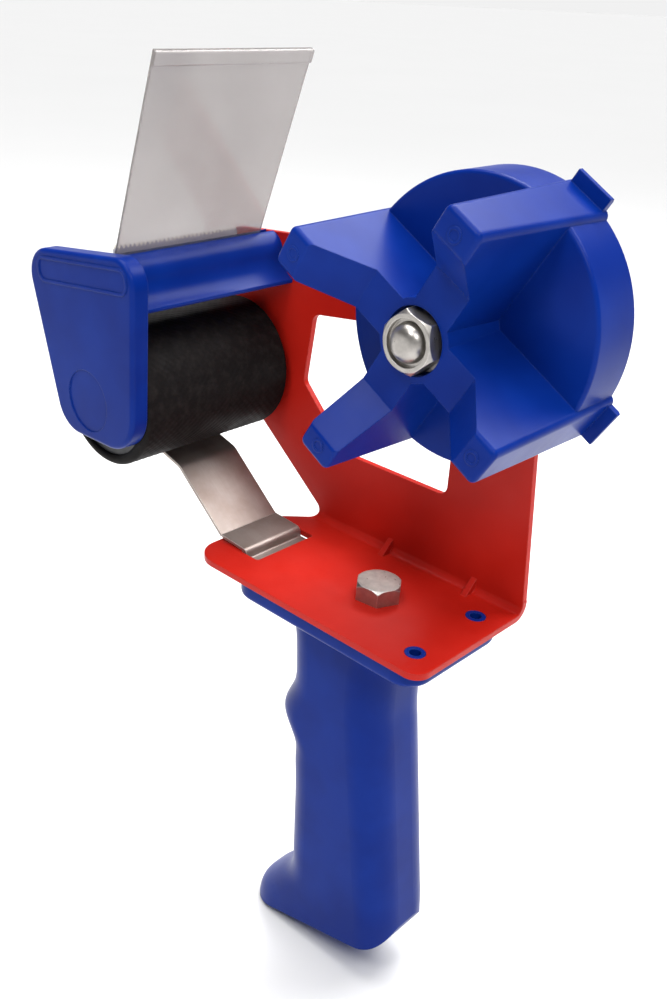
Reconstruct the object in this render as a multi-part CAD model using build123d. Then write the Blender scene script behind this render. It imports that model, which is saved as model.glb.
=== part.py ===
from build123d import *
import math
import os

# Hand-held dispenser gun for 50 mm packing tape on a 76 mm core. Millimetres.
# The origin is on the tape hub's axis, in the middle plane of the grip. +Z is up,
# -X points to the roller head, and -Y to the open side, where a roll of tape goes on.

# ---- Driving dimensions ----
CORE_RADIUS = 38.0            # over the hub's four arms, for a 76 mm core
HUB_HEIGHT = 85.5             # hub axis above the base plate's top face
FRAME_WIDTH = 49.0            # base plate, from its free edge to the side plate
SHEET = 2.0                   # steel sheet of the frame
BEND_RADIUS = 2.5             # inside the frame's bend
BASE_FRONT = -71.8
BASE_REAR = 20.5
SIDE_FRONT = -62.0            # front end of the bend
GUSSET_X = (-30.2, 2.7)
ROLLER_AXIS = (-99.5, -38.5)
ROLLER_RADIUS = 21.8
ROLLER_NEAR, ROLLER_FAR = -37.0, 22.0
CHEEK_OUTER = -43.0           # outer face of the head's cheek
CHEEK_INNER = -37.4
HANDLE_BOLT_X = -14.5
FIT = 0.06                    # radial clearance of a running fit
GAP = 0.1                     # clearance between faces that only meet

# ---- Places that follow ----
SIDE_INNER = FRAME_WIDTH / 2
SIDE_OUTER = SIDE_INNER + SHEET
BASE_TOP = -HUB_HEIGHT
BASE_BOTTOM = BASE_TOP - SHEET
BASE_NEAR = -FRAME_WIDTH / 2
BEND_TOP = BASE_TOP + 4.0     # above this the side plate is flat

# ---- Hub ----
DISC_RADIUS = 37.1
DISC_NEAR, DISC_FAR = 4.4, 20.7
DISC_WALL = 3.0
ARM_WIDTH = 11.0              # at the arms' tips
ARM_DRAFT = 1.7               # degrees that each flank opens towards the disc
ARM_TIP = -29.3               # the arm caps' near faces
BOSS_FACE = -16.5
BOSS_RADIUS = 10.4
ARM_PHASE = 60.0              # degrees from +X towards +Z
SPRING_WELL = (8.6, -1.0)     # radius and floor of the well that holds the brake spring

# ---- Hub axle and brake ----
AXLE_RADIUS = 5.0
AXLE_END = -21.4
LOCK_NUT_THICKNESS = 3.0
BRAKE_NUT_FLATS = 14.2
BRAKE_NUT_NEAR, BRAKE_NUT_FAR = -19.3, -13.1
BRAKE_NUT_TURN = 12.0
BRAKE_WASHER_THICKNESS = 1.2
SPRING_WIRE = 0.6
SPRING_RADIUS = 6.9

# ---- Roller head ----
ROLLER_AXLE_RADIUS = 4.0
ROLLER_STUD_RADIUS = 3.0
CORE_OUTER = 18.6
BLADE_X = -98.0               # face of the cross bar that carries the blade
BLADE_THICKNESS = 0.6
BLADE_Y = (-32.0, 16.0)
BLADE_SCREW_Y = (-22.0, 6.0)
BLADE_SCREW_Z = -4.0
BLADE_SCREW_RADIUS = 1.5
HEAD_SCREWS = ((-94.2, -4.5), (-86.6, -7.0))
HEAD_SCREW_RADIUS = 1.5
HEAD_SCREW_LENGTH = 13.0
FLAP_PIVOT = (-92.6, 3.6)
FLAP_LEAN = 19.5              # degrees back from upright
FLAP_SWING = 20.0             # degrees that it can swing each way
FLAP_WIDTH = 56.4
FLAP_LENGTH = 58.0
FLAP_THICKNESS = 0.8
FLAP_NEAR = -36.2
FLAP_BEAD = 1.3

# ---- Tape guide strip ----
STRIP_WIDTH = 25.0
STRIP_THICKNESS = 1.0
STRIP_HINGE = (-71.6, -83.9)
SLOT_X = (-61.4, -53.6)
SLOT_WIDTH = 25.8

# ---- Handle ----
FLANGE_FRONT, FLANGE_REAR = -54.8, 18.0
FLANGE_NEAR, FLANGE_FAR = -23.3, 21.0
FLANGE_THICKNESS = 6.0
FLANGE_MIDDLE_Y = (FLANGE_NEAR + FLANGE_FAR) / 2
GRIP_WIDTH = 30.0
PEG_X = 12.0
PEG_Y = (-15.2, 13.4)
PEG_RADIUS = 3.0
BOLT_RADIUS = 4.0
BOLT_FLATS = 13.0
BOLT_TURN = 7.0
NUT_SEAT = -110.0             # top of the captive nut's pocket


# ---- Helpers ----
def on_xz(y):
    """A workplane in X and Z at the given y, facing -Y."""
    return Plane(origin=(0, y, 0), x_dir=(1, 0, 0), z_dir=(0, -1, 0))


def along_y(face, y_low, y_high):
    """An XZ outline as a solid from y_low to y_high."""
    return extrude(on_xz(y_high) * face, amount=y_high - y_low)


def along_z(face, z_low, z_high):
    """An XY outline as a solid from z_low to z_high."""
    return extrude(Pos(0, 0, z_low) * face, amount=z_high - z_low)


def disc_y(radius, y_low, y_high, place=(0, 0)):
    return along_y(Pos(*place) * Circle(radius), y_low, y_high)


def disc_z(radius, z_low, z_high, place=(0, 0)):
    return along_z(Pos(*place) * Circle(radius), z_low, z_high)


def outline(points, radii):
    """A closed face with rounded corners, from its sharp corners and their radii."""
    return make_face(FilletPolyline(*points, radius=radii, close=True))


def hexagon(flats):
    return RegularPolygon(radius=flats / 2, side_count=6, major_radius=False)


def hex_block(flats, height, bevel):
    """A hexagonal prism on Z = 0 with the corners of its upper end bevelled."""
    prism = extrude(hexagon(flats), amount=height)
    corner_radius = flats / math.sqrt(3)
    turned = Cylinder(corner_radius, height, align=(Align.CENTER, Align.CENTER, Align.MIN))
    turned = chamfer(turned.edges().sort_by(Axis.Z)[-1], bevel)
    return prism & turned


def towards(place, direction):
    """A location at a point, with its Z axis along a direction."""
    return Plane(origin=place, z_dir=direction).location


def domed_rod(radius, length, dome):
    """A rod on Z = 0 whose upper end is rounded over."""
    rod = Cylinder(radius, length, align=(Align.CENTER, Align.CENTER, Align.MIN))
    return fillet(rod.edges().sort_by(Axis.Z)[-1], dome)


def cross_recess(width, depth):
    """The cross of a screw head, cut downwards from Z = 0."""
    bar = Box(width, width / 5, depth, align=(Align.CENTER, Align.CENTER, Align.MAX))
    return bar + Rot(0, 0, 90) * bar


def pan_screw(shank_radius, length, head_radius, head_height):
    """A pan-head screw: its head stands on Z = 0 and its shank goes down."""
    head = Cylinder(head_radius, head_height, align=(Align.CENTER, Align.CENTER, Align.MIN))
    head = fillet(head.edges().sort_by(Axis.Z)[-1], head_height * 0.6)
    shank = Cylinder(shank_radius, length, align=(Align.CENTER, Align.CENTER, Align.MAX))
    recess = Pos(0, 0, head_height) * cross_recess(head_radius * 1.1, head_height * 0.6)
    return head + shank - recess


# ---- Frame ----
def bent_sheet():
    """The sheet's L section, run along X over more than the frame's length."""
    section = FilletPolyline(
        (BASE_NEAR, BASE_TOP - SHEET / 2),
        (SIDE_INNER + SHEET / 2, BASE_TOP - SHEET / 2),
        (SIDE_INNER + SHEET / 2, 20.0),
        radius=BEND_RADIUS + SHEET / 2,
    )
    run_start = -120.0
    run_length = 150.0
    run = Plane(origin=(run_start, 0, 0), x_dir=(0, 1, 0), z_dir=(1, 0, 0))
    path = run * section
    start = Plane(origin=path @ 0, x_dir=(1, 0, 0), z_dir=path % 0)
    strip = Pos(run_length / 2, 0, 0) * Rectangle(run_length, SHEET)
    return sweep(start * strip, path=path)


def side_outline():
    points = (
        (SIDE_FRONT, BASE_BOTTOM - 2),
        (SIDE_FRONT, BEND_TOP),
        (-113.0, -41.2),
        (-113.0, 3.9),
        (9.4, 12.6),
        (BASE_REAR, -83.0),
        (BASE_REAR, BASE_BOTTOM - 2),
    )
    return outline(points, (0, 3, 12, 8, 11, 6, 0))


def window_outline():
    points = (
        (-70.3, -16.6),
        (-32.0, -12.0),
        (-12.2, -30.0),
        (-11.5, -58.6),
        (-53.5, -58.6),
        (-73.0, -39.6),
    )
    return outline(points, (3, 4, 4, 3, 4, 3))


def base_outline():
    """The base plate and the bend, seen from above."""
    points = (
        (BASE_FRONT, BASE_NEAR),
        (BASE_REAR, BASE_NEAR),
        (BASE_REAR, SIDE_OUTER + 1),
        (SIDE_FRONT, SIDE_OUTER + 1),
        (SIDE_FRONT, SIDE_INNER),
        (BASE_FRONT, 14.0),
    )
    return outline(points, (9, 5, 0, 0, 0, 8))


def gusset(x):
    """A pressed stiffening rib across the inside of the bend."""
    reach = 4.6
    width = 2.0
    corner = Polyline(
        (SIDE_INNER, BASE_TOP),
        (SIDE_INNER - reach, BASE_TOP),
        (SIDE_INNER, BASE_TOP + reach),
        close=True,
    )
    side = Plane(origin=(x, 0, 0), x_dir=(0, 1, 0), z_dir=(1, 0, 0))
    return extrude(side * make_face(corner), amount=width / 2, both=True)


def side_frame():
    base = along_z(base_outline(), BASE_BOTTOM - 1, BEND_TOP)
    side = along_y(side_outline(), SIDE_INNER - BEND_RADIUS, SIDE_OUTER + 1)
    frame = bent_sheet() & (base + side)
    for x in GUSSET_X:
        frame += gusset(x)
    frame -= along_y(window_outline(), SIDE_INNER - 1, SIDE_OUTER + 1)
    frame -= disc_y(AXLE_RADIUS + GAP, SIDE_INNER - 1, SIDE_OUTER + 1)
    frame -= disc_y(ROLLER_STUD_RADIUS + GAP, SIDE_INNER - 1, SIDE_OUTER + 1, ROLLER_AXIS)
    for place in HEAD_SCREWS:
        frame -= disc_y(HEAD_SCREW_RADIUS + 0.2, SIDE_INNER - 1, SIDE_OUTER + 1, place)
    frame -= disc_z(BOLT_RADIUS + 0.4, BASE_BOTTOM - 1, BASE_TOP + 1, (HANDLE_BOLT_X, 0))
    for y in PEG_Y:
        frame -= disc_z(PEG_RADIUS + GAP, BASE_BOTTOM - 1, BASE_TOP + 1, (PEG_X, y))
    slot = Pos(sum(SLOT_X) / 2, 0) * RectangleRounded(SLOT_X[1] - SLOT_X[0], SLOT_WIDTH, 1.0)
    frame -= along_z(slot, BASE_BOTTOM - 1, BASE_TOP + 1)
    return frame


# ---- Handle ----
# The grip's profile from the flange down, as rows of height and value.
GRIP_FRONT = (
    (-93.0, -44.0),
    (-98.0, -40.8),
    (-106.0, -38.9),
    (-121.0, -37.8),
    (-127.0, -39.4),
    (-133.0, -42.8),
    (-138.5, -41.4),
    (-145.0, -36.6),
    (-168.0, -34.8),
    (-204.0, -33.4),
    (-209.0, -36.8),
    (-221.0, -46.9),
    (-227.0, -50.4),
    (-241.0, -51.0),
)
GRIP_REAR = ((-93.0, 5.0), (-98.0, 1.2), (-106.0, -0.6), (-121.0, -0.2), (-241.0, 19.2))
GRIP_CORNER = ((-93.0, 11.0), (-203.0, 11.0), (-217.0, 13.0), (-241.0, 13.0))
GRIP_STEP = 6.0               # spacing of the grip's sections


def at_height(rows, height):
    """The value at a height, on straight lines between the rows."""
    for (high, start), (low, end) in zip(rows, rows[1:]):
        if height >= low:
            break
    return start + (end - start) * (height - high) / (low - high)


def grip_section(z, inset=0.0):
    front = at_height(GRIP_FRONT, z) + inset
    rear = at_height(GRIP_REAR, z) - inset
    corner = at_height(GRIP_CORNER, z) - inset
    return Pos((front + rear) / 2, 0, z) * RectangleRounded(rear - front, GRIP_WIDTH - 2 * inset, corner)


def grip_side():
    """Seen from the side: keeps the grip down to its sloping foot, with a rounded toe and heel."""
    toe = (-51.2, -233.6)
    heel = (14.9, -211.5)
    points = (
        (-80.0, BASE_BOTTOM),
        (-80.0, -205.0),
        (-51.2, -216.0),
        toe,
        heel,
        (9.9, -181.0),
        (45.0, -170.0),
        (45.0, BASE_BOTTOM),
    )
    return outline(points, (0, 0, 0, 6, 12, 0, 0, 0))


def grip_body():
    top, bottom = GRIP_FRONT[0][0], GRIP_FRONT[-1][0]
    count = round((top - bottom) / GRIP_STEP)
    heights = [top - GRIP_STEP * index for index in range(count + 1)]
    body = loft([grip_section(height) for height in heights])
    body &= along_y(grip_side(), -GRIP_WIDTH, GRIP_WIDTH)
    return body


def grip_cavity(wall):
    """The hollow inside the grip, open at the top under the frame."""
    neck, waist, palm, middle, bottom = (-98.0, -118.0, -148.0, -170.0, -192.0)
    sections = [grip_section(height, wall) for height in (neck, waist, palm, middle, bottom)]
    mouth = Pos(0, 0, BASE_BOTTOM + 1 - neck) * sections[0]
    return loft([mouth, *sections])


def flange():
    middle = ((FLANGE_FRONT + FLANGE_REAR) / 2, FLANGE_MIDDLE_Y)
    plan = Pos(*middle) * RectangleRounded(FLANGE_REAR - FLANGE_FRONT, FLANGE_FAR - FLANGE_NEAR, 8)
    block = along_z(plan, BASE_BOTTOM - FLANGE_THICKNESS, BASE_BOTTOM)
    return fillet(block.faces().sort_by(Axis.Z)[0].edges(), 2.0)


def handle():
    wall = 3.2
    strip_recess_end = -41.5
    body = flange() + grip_body() - grip_cavity(wall)
    rib = Pos(-16.0, 0, -104.0) * Box(60, 2.4, 33)
    body += rib & grip_cavity(wall - 1)
    body += disc_z(10.0, -120.0, BASE_BOTTOM, (HANDLE_BOLT_X, 0))
    body -= disc_z(BOLT_RADIUS + 0.3, -130, BASE_BOTTOM + 1, (HANDLE_BOLT_X, 0))
    pocket_depth = 11.0
    pocket = extrude(hexagon(BOLT_FLATS + 0.3), amount=pocket_depth)
    body -= Pos(HANDLE_BOLT_X, 0, NUT_SEAT - pocket_depth) * pocket
    recess_length = strip_recess_end - FLANGE_FRONT + 1
    recess = Pos(FLANGE_FRONT - 1, 0, BASE_BOTTOM) * Box(
        recess_length, STRIP_WIDTH + 1, STRIP_THICKNESS + 0.3, align=(Align.MIN, Align.CENTER, Align.MAX)
    )
    body -= recess
    for y in PEG_Y:
        body += disc_z(PEG_RADIUS, BASE_BOTTOM - 1, BASE_TOP, (PEG_X, y))
        body -= disc_z(PEG_RADIUS - 1.3, BASE_BOTTOM - 4, BASE_TOP + 1, (PEG_X, y))
    return body


def handle_bolt():
    head_height = 5.3
    head = hex_block(BOLT_FLATS, head_height, 0.9)
    shank = Cylinder(BOLT_RADIUS, 36.0, align=(Align.CENTER, Align.CENTER, Align.MAX))
    shank = chamfer(shank.edges().sort_by(Axis.Z)[0], 0.8)
    return Pos(HANDLE_BOLT_X, 0, BASE_TOP) * Rot(0, 0, BOLT_TURN) * (head + shank)


def handle_nut():
    thickness = 6.5
    nut = hex_block(BOLT_FLATS, thickness, 0.9) - Cylinder(BOLT_RADIUS + FIT, 20)
    return Pos(HANDLE_BOLT_X, 0, NUT_SEAT - GAP - thickness) * nut


# ---- Tape guide strip ----
def strip_along(points, radii, width):
    """Spring strip bent along an XZ path."""
    path = on_xz(0) * FilletPolyline(*points, radius=radii)
    start = Plane(origin=path @ 0, x_dir=(0, 1, 0), z_dir=path % 0)
    return sweep(start * Rectangle(width, STRIP_THICKNESS), path=path)


def tape_guide():
    """The free part of the strip, from the plate's front edge to the roller."""
    points = (STRIP_HINGE, (-92.8, -66.5), (-105.5, -63.0), (-111.5, -66.6))
    start = STRIP_THICKNESS / 2
    strip = strip_along(points, (5.0, 4.0), STRIP_WIDTH)
    knuckle = disc_y(start, -STRIP_WIDTH / 2, STRIP_WIDTH / 2, STRIP_HINGE)
    return strip + knuckle


def tape_guide_foot():
    """The clamped end of the strip: over the plate, down its slot and under it."""
    over = BASE_TOP + STRIP_THICKNESS / 2 + GAP
    under = BASE_BOTTOM - STRIP_THICKNESS / 2 - GAP
    drop = -59.7
    points = (
        (STRIP_HINGE[0] + 0.5, STRIP_HINGE[1] - 0.1),
        (drop, over),
        (drop + 0.2, under),
        (-42.5, under),
    )
    foot = strip_along(points, (1.3, 1.1), STRIP_WIDTH)
    clear = disc_y(STRIP_THICKNESS / 2 + GAP, -STRIP_WIDTH, STRIP_WIDTH, STRIP_HINGE)
    return foot - clear


# ---- Roller head ----
def cheek_outline(inset=0.0):
    points = (
        (-128.9 + inset, 2.3 - inset),
        (-75.3 - inset, 8.2 - inset),
        (-78.0 - inset, -50.5 + inset),
        (-113.8 + inset, -51.4 + inset),
    )
    return outline(points, [radius - inset for radius in (8.5, 7.5, 13.0, 10.5)])


def cheek():
    """The blue side cover: a dished plate with a rim, a panel frame and a round mark."""
    rim = 2.6
    plate = along_y(cheek_outline(), CHEEK_OUTER, CHEEK_INNER)
    plate = fillet(plate.faces().sort_by(Axis.Y)[0].edges(), 1.4)
    plate -= along_y(cheek_outline(rim), CHEEK_OUTER + 3.0, CHEEK_INNER + 1)
    plate -= disc_y(9.6, CHEEK_OUTER - 1, CHEEK_OUTER + 0.4, ROLLER_AXIS)
    tilt = 5.7                # degrees, along the cheek's upper edge
    panel = Pos(-99.8, -0.6) * Rot(0, 0, tilt)
    ring = panel * (RectangleRounded(44.0, 7.6, 3.2) - RectangleRounded(42.2, 5.8, 2.3))
    plate += along_y(ring, CHEEK_OUTER - 0.35, CHEEK_OUTER + 0.5)
    boss = disc_y(8.0, CHEEK_OUTER + 2.9, CHEEK_INNER - 0.5, ROLLER_AXIS)
    return plate + boss


def bar_outline():
    """The cross bar in section: a round crest with a skirt that flares to the rear."""
    radius = 6.4
    crest_x, crest_z = BLADE_X + radius, -0.5
    lip = (-80.4, -7.6)
    crest = CenterArc((crest_x, crest_z), radius, 0, 180)
    front = Line((BLADE_X, crest_z), (BLADE_X, -11.7))
    under = Line((BLADE_X, -11.7), (-81.6, -9.0))
    edge = RadiusArc((-81.6, -9.0), lip, -1.0)
    skirt = TangentArc((crest_x + radius, crest_z), lip, tangent=(0, -1))
    return make_face([crest, front, under, edge, skirt])


def cross_bar():
    bar = along_y(bar_outline(), CHEEK_OUTER + 2.9, SIDE_INNER)
    groove = disc_y(FLAP_BEAD + GAP, CHEEK_INNER, SIDE_INNER + 1, FLAP_PIVOT)
    reach = 8.0
    foot = FLAP_THICKNESS / 2 + 0.2
    spread = foot + reach * math.tan(math.radians(FLAP_SWING))
    wedge = Polyline((-foot, 0), (-spread, reach), (spread, reach), (foot, 0), close=True)
    leaned = Pos(*FLAP_PIVOT) * Rot(0, 0, -FLAP_LEAN)
    mouth = along_y(leaned * make_face(wedge), CHEEK_INNER, SIDE_INNER + 1)
    bar -= groove
    bar -= mouth
    for y in BLADE_SCREW_Y:
        hole = Cylinder(BLADE_SCREW_RADIUS + 0.05, 9, align=(Align.CENTER, Align.CENTER, Align.MIN))
        bar -= towards((BLADE_X - 1, y, BLADE_SCREW_Z), (1, 0, 0)) * hole
    for place in HEAD_SCREWS:
        bar -= disc_y(HEAD_SCREW_RADIUS + 0.05, SIDE_INNER - HEAD_SCREW_LENGTH, SIDE_INNER + 1, place)
    return bar


def head_cover():
    cover = cheek() + cross_bar()
    cover -= disc_y(ROLLER_AXLE_RADIUS + 0.05, CHEEK_OUTER + 1.4, 0, ROLLER_AXIS)
    return cover


def head_screws():
    """Two screws through the side plate into the bar's end."""
    screw = pan_screw(HEAD_SCREW_RADIUS, HEAD_SCREW_LENGTH, 2.9, 2.0)
    return Compound([towards((x, SIDE_OUTER, z), (0, 1, 0)) * screw for x, z in HEAD_SCREWS])


def cutting_blade():
    """A serrated steel blade on the bar's front face, with its teeth up."""
    tooth = 1.6
    low, valley, tip = -9.5, 5.5, 6.7
    near, far = BLADE_Y
    count = round((far - near) / tooth)
    teeth = []
    for index in range(count):
        start = near + index * tooth
        teeth += [(start, valley), (start + tooth / 2, tip)]
    points = [(near, low)] + teeth + [(far, valley), (far, low)]
    front = Plane(origin=(BLADE_X - BLADE_THICKNESS, 0, 0), x_dir=(0, 1, 0), z_dir=(1, 0, 0))
    blade = extrude(front * make_face(Polyline(*points, close=True)), amount=BLADE_THICKNESS)
    for y in BLADE_SCREW_Y:
        hole = Cylinder(BLADE_SCREW_RADIUS + 0.2, 8)
        blade -= towards((BLADE_X - 2, y, BLADE_SCREW_Z), (1, 0, 0)) * hole
    return blade


def blade_screws():
    screw = pan_screw(BLADE_SCREW_RADIUS, 7.5, 3.0, 1.8)
    x = BLADE_X - BLADE_THICKNESS
    return Compound([towards((x, y, BLADE_SCREW_Z), (-1, 0, 0)) * screw for y in BLADE_SCREW_Y])


def flap():
    """The clear wiper flap, upright about its bead, then leaned back."""
    bottom_bead = disc_y(FLAP_BEAD, FLAP_NEAR, FLAP_NEAR + FLAP_WIDTH)
    sheet_face = Pos(0, FLAP_LENGTH / 2) * Rectangle(FLAP_THICKNESS, FLAP_LENGTH)
    sheet = along_y(sheet_face, FLAP_NEAR, FLAP_NEAR + FLAP_WIDTH)
    lip_face = Pos(0.35, FLAP_LENGTH - 1.9) * RectangleRounded(FLAP_THICKNESS + 0.7, 3.8, 0.6)
    lip = along_y(lip_face, FLAP_NEAR, FLAP_NEAR + FLAP_WIDTH)
    x, z = FLAP_PIVOT
    return Pos(x, 0, z) * Rot(0, FLAP_LEAN, 0) * (bottom_bead + sheet + lip)


def roller_axle():
    """A stepped pin from the cheek to the stud that is clamped to the side plate."""
    near = CHEEK_OUTER + 1.5
    shoulder = SIDE_INNER - GAP
    end = SIDE_OUTER + 8.0
    shaft = disc_y(ROLLER_AXLE_RADIUS, near, shoulder, ROLLER_AXIS)
    stud = disc_y(ROLLER_STUD_RADIUS, shoulder - 0.01, end, ROLLER_AXIS)
    return chamfer((shaft + stud).edges().sort_by(Axis.Y)[-1], 0.6)


def roller_axle_nut():
    x, z = ROLLER_AXIS
    nut = hex_block(10.0, 5.0, 0.7) - Cylinder(ROLLER_STUD_RADIUS + FIT, 20)
    return towards((x, SIDE_OUTER + 1.6 + GAP, z), (0, 1, 0)) * nut


def roller_axle_washer():
    ring = disc_y(6.0, SIDE_OUTER, SIDE_OUTER + 1.6, ROLLER_AXIS)
    return ring - disc_y(ROLLER_STUD_RADIUS + 0.2, SIDE_OUTER - 1, SIDE_OUTER + 3, ROLLER_AXIS)


def roller_spacers():
    """Thin washers that keep the roller clear of the cheek and the side plate."""
    hole = disc_y(ROLLER_AXLE_RADIUS + GAP, CHEEK_OUTER, SIDE_OUTER, ROLLER_AXIS)
    near = disc_y(7.0, CHEEK_INNER - 0.3, ROLLER_NEAR - GAP, ROLLER_AXIS) - hole
    far = disc_y(7.0, ROLLER_FAR + GAP, SIDE_INNER - GAP, ROLLER_AXIS) - hole
    return Compound([near, far])


def roller_core():
    """A ribbed plastic drum that turns on the axle."""
    rim = disc_y(CORE_OUTER - 0.05, ROLLER_NEAR + 1, ROLLER_FAR - 1, ROLLER_AXIS)
    rim -= disc_y(CORE_OUTER - 2.3, ROLLER_NEAR, ROLLER_FAR, ROLLER_AXIS)
    tube = disc_y(7.5, ROLLER_NEAR, ROLLER_FAR, ROLLER_AXIS)
    web_y = (ROLLER_NEAR + ROLLER_FAR) / 2
    web = disc_y(CORE_OUTER - 2, web_y - 1.2, web_y + 1.2, ROLLER_AXIS)
    core = rim + tube + web
    x, z = ROLLER_AXIS
    rib_length = CORE_OUTER - 9
    rib_width = ROLLER_FAR - ROLLER_NEAR - 4
    rib = Pos(7 + rib_length / 2, web_y, 0) * Box(rib_length, rib_width, 2.0)
    rib_count = 5
    for index in range(rib_count):
        core += Pos(x, 0, z) * Rot(0, 360 / rib_count * index, 0) * rib
    return core - disc_y(ROLLER_AXLE_RADIUS + FIT, ROLLER_NEAR - 1, ROLLER_FAR + 1, ROLLER_AXIS)


def roller_sleeve():
    sleeve = disc_y(ROLLER_RADIUS, ROLLER_NEAR, ROLLER_FAR, ROLLER_AXIS)
    sleeve = fillet(sleeve.edges(), 1.5)
    return sleeve - disc_y(CORE_OUTER, ROLLER_NEAR - 1, ROLLER_FAR + 1, ROLLER_AXIS)


# ---- Tape hub ----
def arm_angles():
    return [ARM_PHASE + 90 * index for index in range(4)]


def turned_out(shape, angle):
    """Turn a shape built along +X about the hub's axis, towards +Z."""
    return Rot(0, -angle, 0) * shape


def arm_wedge():
    """The arm's two flanks, which open by the moulding draft from the tip to the far side."""
    tip = ARM_WIDTH / 2
    root = tip + (DISC_FAR - ARM_TIP) * math.tan(math.radians(ARM_DRAFT))
    corners = Polyline((ARM_TIP, -tip), (DISC_FAR, -root), (DISC_FAR, root), (ARM_TIP, tip), close=True)
    across = Plane(origin=(0, 0, 0), x_dir=(0, 1, 0), z_dir=(1, 0, 0))
    return extrude(across * make_face(corners), amount=CORE_RADIUS)


def hub_arm():
    """One arm: a fin that rises to a flat cap, then a runner along the core seat."""
    inner = 18.5
    cap = 31.0
    profile = Polyline(
        (0, DISC_FAR - DISC_WALL),
        (0, BOSS_FACE),
        (inner, BOSS_FACE),
        (cap, ARM_TIP),
        (CORE_RADIUS, ARM_TIP),
        (CORE_RADIUS, DISC_FAR),
        (CORE_RADIUS - DISC_WALL, DISC_FAR),
        (CORE_RADIUS - DISC_WALL, DISC_FAR - DISC_WALL),
        close=True,
    )
    arm = extrude(make_face(profile), amount=ARM_WIDTH, both=True) & arm_wedge()
    runner = arm.faces().sort_by(Axis.X)[-1]
    arm = fillet(runner.edges().sort_by(SortBy.LENGTH)[-2:], 1.8)
    tip_edges = arm.faces().filter_by(Axis.Y).sort_by(Axis.Y)[0].edges()
    return fillet(tip_edges, 1.3)


def hub_barb():
    """The snap tab at an arm's far end that keeps the core on."""
    thickness = 2.0
    reach = 3.3
    profile = Polyline(
        (CORE_RADIUS - 1, DISC_FAR - thickness),
        (CORE_RADIUS + reach, DISC_FAR - thickness),
        (CORE_RADIUS + reach, DISC_FAR - 0.6),
        (CORE_RADIUS + reach - 0.8, DISC_FAR),
        (CORE_RADIUS - 1, DISC_FAR),
        close=True,
    )
    return extrude(make_face(profile), amount=ARM_WIDTH / 2, both=True)


def arm_core_out():
    """The pocket moulded into an arm from behind, which keeps its walls even."""
    wall = 2.4
    profile = Polyline(
        (14.0, DISC_FAR + 1),
        (14.0, BOSS_FACE + 5),
        (19.0, BOSS_FACE + 5),
        (32.0, ARM_TIP + wall + 0.8),
        (CORE_RADIUS - wall, ARM_TIP + wall + 0.8),
        (CORE_RADIUS - wall, DISC_FAR + 1),
        close=True,
    )
    return extrude(make_face(profile), amount=ARM_WIDTH / 2 - wall, both=True)


def ejector_mark():
    """The faint ring that an ejector pin leaves on an arm's cap."""
    ring = Circle(1.9) - Circle(1.2)
    return along_y(Pos(33.8, 0) * ring, ARM_TIP - 0.2, ARM_TIP + 0.3)


def tape_hub():
    disc = disc_y(DISC_RADIUS, DISC_NEAR, DISC_FAR)
    disc = fillet(disc.edges().sort_by(Axis.Y)[0], 1.0)
    disc -= disc_y(DISC_RADIUS - DISC_WALL, DISC_NEAR + DISC_WALL, DISC_FAR + 1)
    boss = disc_y(BOSS_RADIUS, BOSS_FACE, DISC_FAR - 0.6)
    hub = disc + boss
    arm = hub_arm() + hub_barb() + ejector_mark()
    pocket = arm_core_out()
    for angle in arm_angles():
        hub += turned_out(arm, angle)
    for angle in arm_angles():
        hub -= turned_out(pocket, angle)
    well_radius, well_floor = SPRING_WELL
    hub -= disc_y(well_radius, BOSS_FACE - 1, well_floor)
    hub -= disc_y(AXLE_RADIUS + FIT, -30, 30)
    return hub


def hub_axle():
    """A bolt from the far side, with a hex head outside the plate and a domed end."""
    head = hex_block(16.0, 6.4, 1.1)
    shank = domed_rod(AXLE_RADIUS, SIDE_OUTER - AXLE_END, 3.4)
    place = (0, SIDE_OUTER, 0)
    return towards(place, (0, 1, 0)) * head + towards(place, (0, -1, 0)) * shank


def axle_lock_nut():
    nut = hex_block(16.0, LOCK_NUT_THICKNESS, 0.8) - Cylinder(AXLE_RADIUS + FIT, 20)
    return towards((0, SIDE_INNER, 0), (0, -1, 0)) * nut


def hub_rear_washer():
    near = DISC_FAR - 0.6 + GAP
    far = SIDE_INNER - LOCK_NUT_THICKNESS - GAP
    return disc_y(10.5, near, far) - disc_y(AXLE_RADIUS + GAP, near - 1, far + 1)


def brake_nut():
    """A hex nut bevelled at both ends, which sets the hub's drag."""
    length = BRAKE_NUT_FAR - BRAKE_NUT_NEAR
    body = hex_block(BRAKE_NUT_FLATS, length, 1.1)
    thread = Cylinder(AXLE_RADIUS + FIT, 30)
    mouth = Pos(0, 0, length - 1.4) * Cylinder(6.0, 4, align=(Align.CENTER, Align.CENTER, Align.MIN))
    nut = Rot(0, 0, BRAKE_NUT_TURN) * (body - thread - mouth)
    return towards((0, BRAKE_NUT_FAR, 0), (0, -1, 0)) * nut


def brake_washer():
    near = BRAKE_NUT_FAR + GAP
    far = near + BRAKE_WASHER_THICKNESS
    return disc_y(SPRING_WELL[0] - 0.5, near, far) - disc_y(AXLE_RADIUS + GAP, near - 1, far + 1)


def brake_spring():
    washer_face = BRAKE_NUT_FAR + GAP + BRAKE_WASHER_THICKNESS
    low = washer_face + SPRING_WIRE + GAP
    high = SPRING_WELL[1] - SPRING_WIRE - GAP
    turns = 3.5
    coil = Helix(pitch=(high - low) / turns, height=high - low, radius=SPRING_RADIUS)
    start = Plane(origin=coil @ 0, z_dir=coil % 0)
    wire = sweep(start * Circle(SPRING_WIRE), path=coil, is_frenet=True)
    return towards((0, low, 0), (0, 1, 0)) * wire


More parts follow.
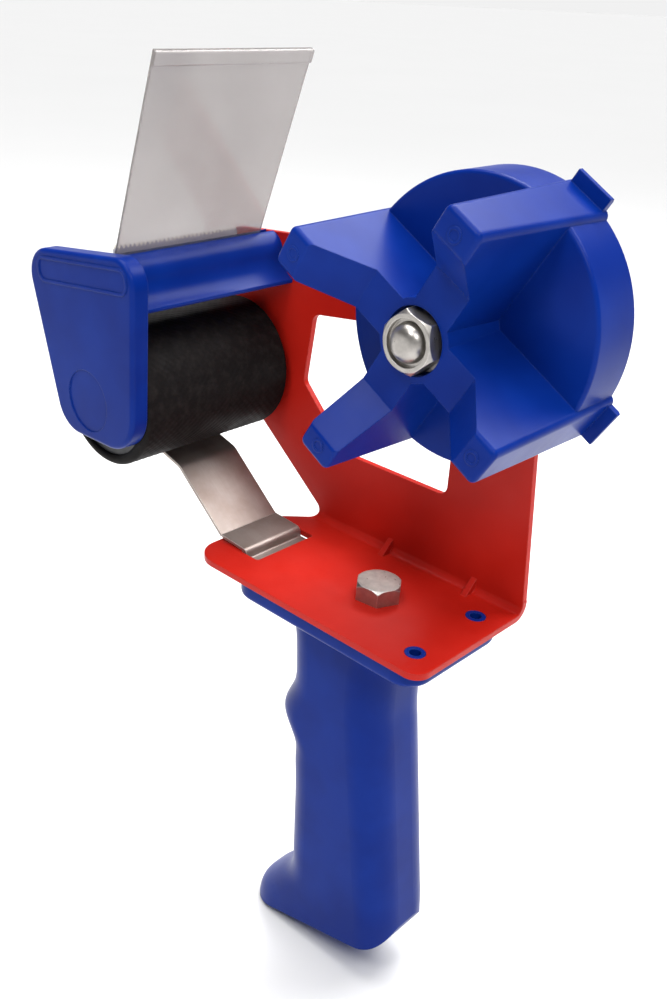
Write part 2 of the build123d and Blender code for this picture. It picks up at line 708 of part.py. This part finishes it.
NODES = {
    "side_frame": side_frame,
    "handle": handle,
    "handle_bolt": handle_bolt,
    "handle_nut": handle_nut,
    "tape_guide": tape_guide,
    "tape_guide_foot": tape_guide_foot,
    "head_cover": head_cover,
    "head_screws": head_screws,
    "cutting_blade": cutting_blade,
    "blade_screws": blade_screws,
    "flap": flap,
    "roller_axle": roller_axle,
    "roller_axle_nut": roller_axle_nut,
    "roller_axle_washer": roller_axle_washer,
    "roller_spacers": roller_spacers,
    "roller_core": roller_core,
    "roller_sleeve": roller_sleeve,
    "tape_hub": tape_hub,
    "hub_axle": hub_axle,
    "axle_lock_nut": axle_lock_nut,
    "hub_rear_washer": hub_rear_washer,
    "brake_nut": brake_nut,
    "brake_washer": brake_washer,
    "brake_spring": brake_spring,
}


def main():
    os.makedirs("parts", exist_ok=True)
    for name, build in NODES.items():
        export_step(build(), f"parts/{name}.step")


main()
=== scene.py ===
import math

import bpy
from mathutils import Matrix, Vector


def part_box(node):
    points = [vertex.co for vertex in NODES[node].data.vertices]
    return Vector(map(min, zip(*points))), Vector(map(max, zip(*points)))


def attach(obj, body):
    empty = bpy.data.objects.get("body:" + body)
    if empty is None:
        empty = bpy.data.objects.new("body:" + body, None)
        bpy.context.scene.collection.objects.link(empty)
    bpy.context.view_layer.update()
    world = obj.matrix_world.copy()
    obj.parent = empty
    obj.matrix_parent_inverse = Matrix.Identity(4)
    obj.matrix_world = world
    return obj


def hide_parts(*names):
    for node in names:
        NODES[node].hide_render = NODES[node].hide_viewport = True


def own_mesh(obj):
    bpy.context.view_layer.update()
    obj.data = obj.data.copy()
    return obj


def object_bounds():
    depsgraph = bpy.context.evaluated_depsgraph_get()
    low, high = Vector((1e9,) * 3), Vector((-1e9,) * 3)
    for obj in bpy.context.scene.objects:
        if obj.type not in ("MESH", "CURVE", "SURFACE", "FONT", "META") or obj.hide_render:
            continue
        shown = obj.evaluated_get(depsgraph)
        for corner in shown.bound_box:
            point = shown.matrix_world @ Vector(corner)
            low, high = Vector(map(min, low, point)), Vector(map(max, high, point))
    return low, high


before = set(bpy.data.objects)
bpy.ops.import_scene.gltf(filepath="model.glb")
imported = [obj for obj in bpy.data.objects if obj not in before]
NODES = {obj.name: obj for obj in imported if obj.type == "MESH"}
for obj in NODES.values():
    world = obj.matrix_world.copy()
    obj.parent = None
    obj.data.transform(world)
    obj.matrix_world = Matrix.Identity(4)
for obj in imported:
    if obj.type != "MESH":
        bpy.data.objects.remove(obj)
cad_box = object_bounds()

MM = 0.001
ROLLER_SEGMENTS = 336         # of the sleeve's mesh, round the roller
KNURL_PITCH = 1.25 * MM       # half of what lies between parallel grooves, going round the roller
KNURL_DEPTH = 0.2 * MM
KNURL_CREST = 0.6             # under 1, the pattern has broad diamonds and narrow grooves
RINGS_PER_PITCH = 3           # of the sleeve's mesh, in each KNURL_PITCH along the roller
SLEEVE_CORNER = 1.5 * MM      # radius of the sleeve's rounded ends
CORNER_STEPS = 4
CORE_GAP = 0.05 * MM          # between the roller's core and the sleeve's bore

BEVEL_SAMPLES = 4
EDGE_START = 0.02             # an edge starts to show where its bevelled normal turns this much,
EDGE_FULL = 0.25              # and shows in full from here on, both as 1 less the cosine
WAVE_SPACING = 0.314          # between the Wave node's bands at a scale of 1

FLOOR_DROP = 1.5 * MM         # the floor lies this far under the grip
FLOOR_REACH = 30.0            # from the middle of the floor to its sides
LAMP_TARGET = (-0.04, 0, -0.08)

# The camera: its place, its axes and its lens, in the object's frame, as fitted to the photograph.
CAMERA_PLACE = Vector((142.54, -208.76, 72.44)) * MM
CAMERA_RIGHT = Vector((0.6945, 0.7186, 0.0368))
CAMERA_UP = Vector((-0.3848, 0.3277, 0.8629))
CAMERA_LENS = 36.036
CAMERA_SHIFT = (0.0719, 0.0716)


# ---- Node graphs ----
def set_range(node, low, high, to_low, to_high):
    """Sets what a Map Range node reads and what it gives."""
    node.inputs["From Min"].default_value = low
    node.inputs["From Max"].default_value = high
    node.inputs["To Min"].default_value = to_low
    node.inputs["To Max"].default_value = to_high


class Paint:
    """A Principled material and short ways to wire its nodes. Lengths are in metres."""

    def __init__(self, name, color, roughness, metallic=0.0, **sockets):
        self.material = bpy.data.materials.new(name)
        self.material.use_nodes = True
        self.tree = self.material.node_tree
        self.tree.nodes.clear()
        output = self.tree.nodes.new("ShaderNodeOutputMaterial")
        self.shader = self.tree.nodes.new("ShaderNodeBsdfPrincipled")
        self.link(self.shader.outputs["BSDF"], output.inputs["Surface"])
        self.shader.inputs["Base Color"].default_value = (*color, 1.0)
        self.shader.inputs["Roughness"].default_value = roughness
        self.shader.inputs["Metallic"].default_value = metallic
        for socket, value in sockets.items():
            self.shader.inputs[socket.replace("_", " ")].default_value = value
        self.place = self.tree.nodes.new("ShaderNodeTexCoord").outputs["Object"]
        self.normal = None

    def link(self, source, target):
        """Joins an output to an input."""
        self.tree.links.new(source, target)

    def put(self, value, socket):
        """Links an output or sets a constant."""
        if isinstance(value, bpy.types.NodeSocket):
            self.link(value, socket)
        else:
            socket.default_value = value

    def stretched(self, stretch):
        """The object's coordinates, scaled by that much along each axis."""
        mapping = self.tree.nodes.new("ShaderNodeMapping")
        mapping.inputs["Scale"].default_value = stretch
        self.link(self.place, mapping.inputs["Vector"])
        return mapping.outputs["Vector"]

    def noise(self, size, detail=2.0, roughness=0.5, stretch=None):
        """Noise with features about that size."""
        node = self.tree.nodes.new("ShaderNodeTexNoise")
        node.inputs["Scale"].default_value = 1 / size
        node.inputs["Detail"].default_value = detail
        node.inputs["Roughness"].default_value = roughness
        self.link(self.stretched(stretch) if stretch else self.place, node.inputs["Vector"])
        return node.outputs["Fac"]

    def bands(self, size):
        """Bands across the Y axis, one every such size."""
        node = self.tree.nodes.new("ShaderNodeTexWave")
        node.bands_direction = "Y"
        node.inputs["Scale"].default_value = WAVE_SPACING / size
        self.link(self.place, node.inputs["Vector"])
        return node.outputs["Fac"]

    def fit(self, value, low, high, to_low, to_high):
        """The value mapped from low...high to to_low...to_high, and held within it."""
        node = self.tree.nodes.new("ShaderNodeMapRange")
        self.link(value, node.inputs["Value"])
        set_range(node, low, high, to_low, to_high)
        return node.outputs["Result"]

    def multiply(self, a, b):
        """Multiplies two values, each an output or a constant."""
        node = self.tree.nodes.new("ShaderNodeMath")
        node.operation = "MULTIPLY"
        self.put(a, node.inputs[0])
        self.put(b, node.inputs[1])
        return node.outputs["Value"]

    def mix(self, factor, a, b):
        """Colour a where the factor is 0, colour b where it is 1."""
        node = self.tree.nodes.new("ShaderNodeMix")
        node.data_type = "RGBA"
        self.put(factor, node.inputs["Factor"])
        for value, name in ((a, "A"), (b, "B")):
            socket = next(s for s in node.inputs if s.name == name and s.type == "RGBA")
            self.put(value if isinstance(value, bpy.types.NodeSocket) else (*value, 1.0), socket)
        return next(s for s in node.outputs if s.type == "RGBA")

    def bevelled(self, radius):
        """The surface's normal, as if its edges were rounded by that radius."""
        bevel = self.tree.nodes.new("ShaderNodeBevel")
        bevel.samples = BEVEL_SAMPLES
        bevel.inputs["Radius"].default_value = radius
        return bevel.outputs["Normal"]

    def edges(self, radius):
        """A mask that is 1 on sharp outer and inner edges, about as wide as the radius."""
        geometry = self.tree.nodes.new("ShaderNodeNewGeometry")
        dot = self.tree.nodes.new("ShaderNodeVectorMath")
        dot.operation = "DOT_PRODUCT"
        self.link(self.bevelled(radius), dot.inputs[0])
        self.link(geometry.outputs["True Normal"], dot.inputs[1])
        return self.fit(dot.outputs["Value"], 1 - EDGE_START, 1 - EDGE_FULL, 0.0, 1.0)

    def soft_edges(self, radius):
        """Shades edges as if they were rounded by that radius."""
        self.normal = self.bevelled(radius)
        self.link(self.normal, self.shader.inputs["Normal"])

    def bump(self, height, depth):
        """Adds a relief of that depth to what the surface already has."""
        node = self.tree.nodes.new("ShaderNodeBump")
        node.inputs["Distance"].default_value = depth
        node.inputs["Strength"].default_value = 1.0
        self.link(height, node.inputs["Height"])
        if self.normal is not None:
            self.link(self.normal, node.inputs["Normal"])
        self.normal = node.outputs["Normal"]
        self.link(self.normal, self.shader.inputs["Normal"])

    def color(self, output):
        """Colours the surface from an output."""
        self.link(output, self.shader.inputs["Base Color"])

    def roughness(self, output):
        """Roughens the surface from an output."""
        self.link(output, self.shader.inputs["Roughness"])


# ---- Materials ----
def blue_plastic():
    """Semi-gloss moulded plastic with a fine spark-eroded grain and pale, rubbed edges."""
    deep, bright, rubbed = (0.001, 0.016, 0.170), (0.002, 0.023, 0.212), (0.055, 0.115, 0.400)
    paint = Paint("blue_plastic", bright, 0.31, Specular_IOR_Level=0.08)
    paint.soft_edges(0.45 * MM)
    cloud = paint.noise(22 * MM, 3.0)
    flow = paint.noise(5 * MM, 4.0, 0.6, stretch=(1.0, 1.0, 0.35))
    tone = paint.mix(paint.fit(cloud, 0.35, 0.65, 0.0, 1.0), deep, bright)
    scuffs = paint.fit(paint.noise(1.6 * MM, 6.0, 0.7), 0.55, 0.75, 0.25, 1.0)
    wear = paint.multiply(paint.edges(0.5 * MM), scuffs)
    paint.color(paint.mix(paint.multiply(wear, 0.45), tone, rubbed))
    paint.roughness(paint.fit(flow, 0.1, 0.9, 0.27, 0.35))
    paint.bump(paint.noise(0.22 * MM, 2.0), 0.006 * MM)
    return paint.material


def red_powder_coat():
    """Powder coat: an orange-peel skin, thinner and paler on the sheet's edges."""
    deep, bright, thin = (0.42, 0.010, 0.005), (0.50, 0.015, 0.008), (0.68, 0.10, 0.065)
    gloss = {"Specular_IOR_Level": 0.13, "Coat_Weight": 0.04, "Coat_Roughness": 0.16}
    paint = Paint("red_powder_coat", bright, 0.36, **gloss)
    paint.soft_edges(0.5 * MM)
    cloud = paint.noise(30 * MM, 3.0)
    tone = paint.mix(paint.fit(cloud, 0.35, 0.65, 0.0, 1.0), deep, bright)
    patchy = paint.fit(paint.noise(1.4 * MM, 5.0, 0.7), 0.45, 0.75, 0.2, 1.0)
    wear = paint.multiply(paint.edges(0.45 * MM), patchy)
    paint.color(paint.mix(paint.multiply(wear, 0.6), tone, thin))
    paint.roughness(paint.fit(paint.noise(9 * MM, 4.0), 0.3, 0.7, 0.32, 0.46))
    paint.bump(paint.noise(1.3 * MM, 1.0), 0.028 * MM)
    paint.bump(paint.noise(0.25 * MM, 2.0), 0.004 * MM)
    return paint.material


def black_rubber():
    """Soft matt rubber with faint, patchy dust."""
    dark, dusty = (0.006, 0.005, 0.005), (0.018, 0.015, 0.014)
    paint = Paint("black_rubber", dark, 0.62, Specular_IOR_Level=0.08)
    dust = paint.fit(paint.noise(3 * MM, 6.0, 0.65), 0.45, 0.8, 0.0, 1.0)
    paint.color(paint.mix(dust, dark, dusty))
    paint.roughness(paint.fit(paint.noise(6 * MM, 4.0), 0.3, 0.7, 0.5, 0.72))
    paint.bump(paint.noise(0.15 * MM, 3.0), 0.01 * MM)
    return paint.material


def dark_plastic():
    """Dark grey moulded plastic, slightly cloudy."""
    dark, pale = (0.024, 0.025, 0.028), (0.040, 0.041, 0.045)
    paint = Paint("dark_plastic", (0.028, 0.029, 0.032), 0.5)
    paint.soft_edges(0.3 * MM)
    paint.color(paint.mix(paint.noise(8 * MM, 4.0), dark, pale))
    paint.roughness(paint.fit(paint.noise(4 * MM, 4.0), 0.3, 0.7, 0.42, 0.6))
    paint.bump(paint.noise(0.25 * MM, 2.0), 0.008 * MM)
    return paint.material


def zinc_plate(name="zinc_plate", threads=False):
    """Zinc plate: cloudy, finely rough and bright on its edges. With threads, it is ribbed along Y."""
    dull, clean, worn = (0.30, 0.28, 0.265), (0.50, 0.475, 0.44), (0.76, 0.74, 0.70)
    paint = Paint(name, (0.46, 0.44, 0.41), 0.26, metallic=0.9)
    paint.soft_edges(0.35 * MM)
    cloud = paint.noise(2.5 * MM, 5.0, 0.6)
    tone = paint.mix(paint.fit(cloud, 0.2, 0.8, 0.0, 1.0), dull, clean)
    paint.color(paint.mix(paint.edges(0.4 * MM), tone, worn))
    paint.roughness(paint.fit(paint.noise(1.2 * MM, 4.0, 0.6), 0.1, 0.9, 0.22, 0.42))
    paint.bump(paint.noise(0.5 * MM, 4.0, 0.6), 0.008 * MM)
    if threads:
        paint.bump(paint.bands(1.0 * MM), 0.35 * MM)
    return paint.material


def spring_steel():
    """Bare rolled strip: a brushed grain along its length, warm stains and bright edges."""
    clean, stained = (0.38, 0.325, 0.295), (0.28, 0.215, 0.185)
    streak, worn = (0.30, 0.27, 0.25), (0.80, 0.78, 0.75)
    paint = Paint("spring_steel", (0.52, 0.47, 0.43), 0.40, metallic=0.7)
    paint.soft_edges(0.3 * MM)
    grain = paint.noise(1.0 * MM, 6.0, 0.7, stretch=(0.06, 6.0, 0.06))
    stain = paint.noise(11 * MM, 4.0, 0.6)
    tone = paint.mix(paint.fit(stain, 0.35, 0.7, 0.0, 1.0), clean, stained)
    tone = paint.mix(paint.fit(grain, 0.3, 0.7, 0.0, 0.45), tone, streak)
    paint.color(paint.mix(paint.edges(0.4 * MM), tone, worn))
    paint.roughness(paint.fit(grain, 0.3, 0.7, 0.34, 0.52))
    paint.bump(grain, 0.012 * MM)
    return paint.material


def blade_steel():
    """Pale ground steel, with grinding marks that run along the row of teeth."""
    dull, bright = (0.86, 0.80, 0.68), (0.96, 0.91, 0.79)
    paint = Paint("blade_steel", (0.90, 0.85, 0.74), 0.42, metallic=0.2)
    paint.soft_edges(0.15 * MM)
    grain = paint.noise(0.6 * MM, 5.0, 0.7, stretch=(1.0, 0.08, 4.0))
    paint.color(paint.mix(paint.fit(grain, 0.3, 0.7, 0.0, 1.0), dull, bright))
    paint.roughness(paint.fit(grain, 0.3, 0.7, 0.34, 0.5))
    paint.bump(grain, 0.01 * MM)
    return paint.material


def clear_sheet():
    """Clear plastic sheet gone milky, with faint rubbed patches and fine scratches."""
    clean, rubbed = (0.53, 0.50, 0.49), (0.575, 0.545, 0.535)
    paint = Paint("clear_sheet", clean, 0.12, Transmission_Weight=0.75, IOR=1.3)
    patches = paint.fit(paint.noise(18 * MM, 5.0, 0.6), 0.4, 0.7, 0.0, 1.0)
    scratches = paint.noise(1.5 * MM, 4.0, 0.6, stretch=(1.0, 0.15, 2.5))
    paint.color(paint.mix(patches, clean, rubbed))
    paint.roughness(paint.fit(patches, 0.0, 1.0, 0.10, 0.15))
    paint.bump(scratches, 0.002 * MM)
    return paint.material


def pale_floor():
    """A matt, pale grey floor."""
    dull, bright = (0.77, 0.77, 0.77), (0.79, 0.79, 0.79)
    paint = Paint("pale_floor", (0.78, 0.78, 0.78), 0.9, Specular_IOR_Level=0.1)
    paint.color(paint.mix(paint.noise(400 * MM, 3.0), dull, bright))
    return paint.material


def give(material, *names):
    """The CAD nodes of those names wear that material."""
    for name in names:
        mesh = NODES[name].data
        mesh.materials.clear()
        mesh.materials.append(material)


def paint_frame():
    """Gives every CAD node its material."""
    zinc = zinc_plate()
    give(blue_plastic(), "handle", "head_cover", "tape_hub")
    give(red_powder_coat(), "side_frame")
    give(dark_plastic(), "roller_spacers", "roller_core", "hub_rear_washer")
    give(zinc, "handle_bolt", "handle_nut", "head_screws", "blade_screws", "roller_axle_nut")
    give(zinc, "roller_axle_washer", "hub_axle", "axle_lock_nut", "brake_nut", "brake_washer")
    give(zinc_plate("zinc_thread", threads=True), "roller_axle")
    give(spring_steel(), "tape_guide", "tape_guide_foot", "brake_spring")
    give(blade_steel(), "cutting_blade")
    give(clear_sheet(), "flap")


# ---- Geometry ----
def mesh_piece(name, points, faces, material, smooth=True):
    """A new object in the scene, made of those points and faces."""
    mesh = bpy.data.meshes.new(name)
    mesh.from_pydata(points, [], faces)
    mesh.update()
    if smooth:
        mesh.shade_smooth()
    else:
        mesh.shade_flat()
    mesh.materials.append(material)
    piece = bpy.data.objects.new(name, mesh)
    bpy.context.scene.collection.objects.link(piece)
    return piece


def knurl(angle, along, radius):
    """Height of the diamond pattern, from 0 in a groove to 1 on a peak."""
    around = angle * radius
    first = abs(math.sin(math.pi * (around + along) / (2 * KNURL_PITCH)))
    second = abs(math.sin(math.pi * (around - along) / (2 * KNURL_PITCH)))
    return min(first, second) ** KNURL_CREST


def sleeve_rings(low, high, inner, outer):
    """Each mesh ring's y and radius, from bore to bore. A radius of None is left to the knurl."""
    corner = [(low, outer - SLEEVE_CORNER)]
    for step in range(1, CORNER_STEPS + 1):
        angle = math.pi / 2 * step / CORNER_STEPS
        y = low + SLEEVE_CORNER * (1 - math.cos(angle))
        corner.append((y, outer - SLEEVE_CORNER * (1 - math.sin(angle))))
    straight = high - low - 2 * SLEEVE_CORNER
    count = round(straight / (KNURL_PITCH / RINGS_PER_PITCH))
    knurled = [(low + SLEEVE_CORNER + straight * step / count, None) for step in range(1, count)]
    far_corner = [(low + high - y, radius) for y, radius in reversed(corner)]
    return [(low, inner), *corner, *knurled, *far_corner, (high, inner)]


def sleeve_points(rings, centre, outer):
    """The points round each ring, with the knurl cut into the rings that it shapes."""
    diamonds = round(math.pi * outer / KNURL_PITCH)
    closing = diamonds * KNURL_PITCH / math.pi      # the radius on which the pattern meets itself
    start = rings[0][0]
    points = []
    for y, radius in rings:
        for segment in range(ROLLER_SEGMENTS):
            angle = 2 * math.pi * segment / ROLLER_SEGMENTS
            reach = radius or outer - KNURL_DEPTH * (1 - knurl(angle, y - start, closing))
            points.append((centre.x + reach * math.cos(angle), y, centre.z + reach * math.sin(angle)))
    return points


def sleeve_faces(ring_count):
    """Quads from each ring to the next, and from the last ring back to the first."""
    faces = []
    for ring in range(ring_count):
        following = (ring + 1) % ring_count
        for segment in range(ROLLER_SEGMENTS):
            beside = (segment + 1) % ROLLER_SEGMENTS
            faces.append((
                ring * ROLLER_SEGMENTS + segment,
                ring * ROLLER_SEGMENTS + beside,
                following * ROLLER_SEGMENTS + beside,
                following * ROLLER_SEGMENTS + segment,
            ))
    return faces


def knurled_sleeve():
    """The roller's rubber sleeve, with its diamond pattern as real relief."""
    low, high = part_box("roller_sleeve")
    core_low, core_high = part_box("roller_core")
    centre = (low + high) / 2
    outer = (high.x - low.x) / 2
    inner = (core_high.x - core_low.x) / 2 + CORE_GAP
    rings = sleeve_rings(low.y, high.y, inner, outer)
    points = sleeve_points(rings, centre, outer)
    piece = mesh_piece("roller_rubber", points, sleeve_faces(len(rings)), black_rubber())
    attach(piece, "roller")
    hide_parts("roller_sleeve")


def brake_coil():
    """The brake's spring as its own piece, carried by the frame."""
    node = NODES["brake_spring"]
    piece = bpy.data.objects.new("brake_coil", node.data.copy())
    piece.matrix_world = node.matrix_world.copy()
    bpy.context.scene.collection.objects.link(piece)
    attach(piece, "frame")
    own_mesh(piece)
    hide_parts("brake_spring")


# ---- Studio ----
def floor():
    """A floor so wide that its far edge meets the horizon's bright band."""
    z = cad_box[0].z - FLOOR_DROP
    corners = ((-1, -1), (1, -1), (1, 1), (-1, 1))
    points = [(x * FLOOR_REACH, y * FLOOR_REACH, z) for x, y in corners]
    piece = mesh_piece("floor", points, [(0, 1, 2, 3)], pale_floor(), smooth=False)


def add_light(light, place, target):
    """Puts a light at a place and aims it at a target."""
    lamp = bpy.data.objects.new(light.name, light)
    lamp.location = place
    lamp.rotation_mode = "QUATERNION"
    lamp.rotation_quaternion = (Vector(target) - Vector(place)).to_track_quat("-Z", "Y")
    bpy.context.scene.collection.objects.link(lamp)


def overhead_light():
    """A broad, distant light that keeps the floor evenly bright."""
    light = bpy.data.lights.new("overhead", "SUN")
    light.energy = 3.35
    light.angle = math.radians(50)
    add_light(light, (-0.20, 0.05, 1.0), (0, 0, 0))


def softbox(name, place, size, power):
    """A rectangular lamp aimed at the gun. The place and size are in metres, the power in watts."""
    light = bpy.data.lights.new(name, "AREA")
    light.shape = "RECTANGLE"
    light.size, light.size_y = size
    light.energy = power
    add_light(light, place, LAMP_TARGET)


def surroundings():
    """A dim room with a bright band along the horizon, which meets the floor's far edge."""
    world = bpy.data.worlds.new("studio")
    world.use_nodes = True
    nodes, links = world.node_tree.nodes, world.node_tree.links
    direction = nodes.new("ShaderNodeTexCoord")
    split = nodes.new("ShaderNodeSeparateXYZ")
    links.new(direction.outputs["Generated"], split.inputs["Vector"])
    level = nodes.new("ShaderNodeMapRange")
    level.interpolation_type = "SMOOTHSTEP"
    links.new(split.outputs["Z"], level.inputs["Value"])
    band_top, dim_from = 0.02, 0.30     # as the sine of the height above the horizon
    bright, dim = 0.88, 0.12
    set_range(level, band_top, dim_from, bright, dim)
    background = nodes["Background"]
    background.inputs["Color"].default_value = (1.0, 1.0, 1.0, 1.0)
    links.new(level.outputs["Result"], background.inputs["Strength"])
    bpy.context.scene.world = world


def studio():
    """The lights and surroundings, shown with the Standard view transform."""
    overhead_light()
    softbox("back", (0.0, 0.60, 0.75), (1.0, 0.5), 13.0)
    softbox("key", (0.06, -0.50, 0.66), (0.22, 0.22), 2.4)
    softbox("rim", (0.45, -0.25, 0.55), (0.30, 0.30), 3.0)
    surroundings()
    bpy.context.scene.view_settings.view_transform = "Standard"


def camera():
    """The camera, placed so that the gun appears as in the photograph."""
    settings = bpy.data.cameras.new("camera")
    settings.sensor_width = 36.0
    settings.lens = CAMERA_LENS
    settings.shift_x, settings.shift_y = CAMERA_SHIFT
    settings.clip_start = 0.01
    viewer = bpy.data.objects.new("camera", settings)
    back = CAMERA_RIGHT.cross(CAMERA_UP)
    turned = Matrix((CAMERA_RIGHT, CAMERA_UP, back)).transposed().to_4x4()
    viewer.matrix_world = Matrix.Translation(CAMERA_PLACE) @ turned
    bpy.context.scene.collection.objects.link(viewer)
    bpy.context.scene.camera = viewer


paint_frame()
knurled_sleeve()
brake_coil()
floor()
studio()
camera()
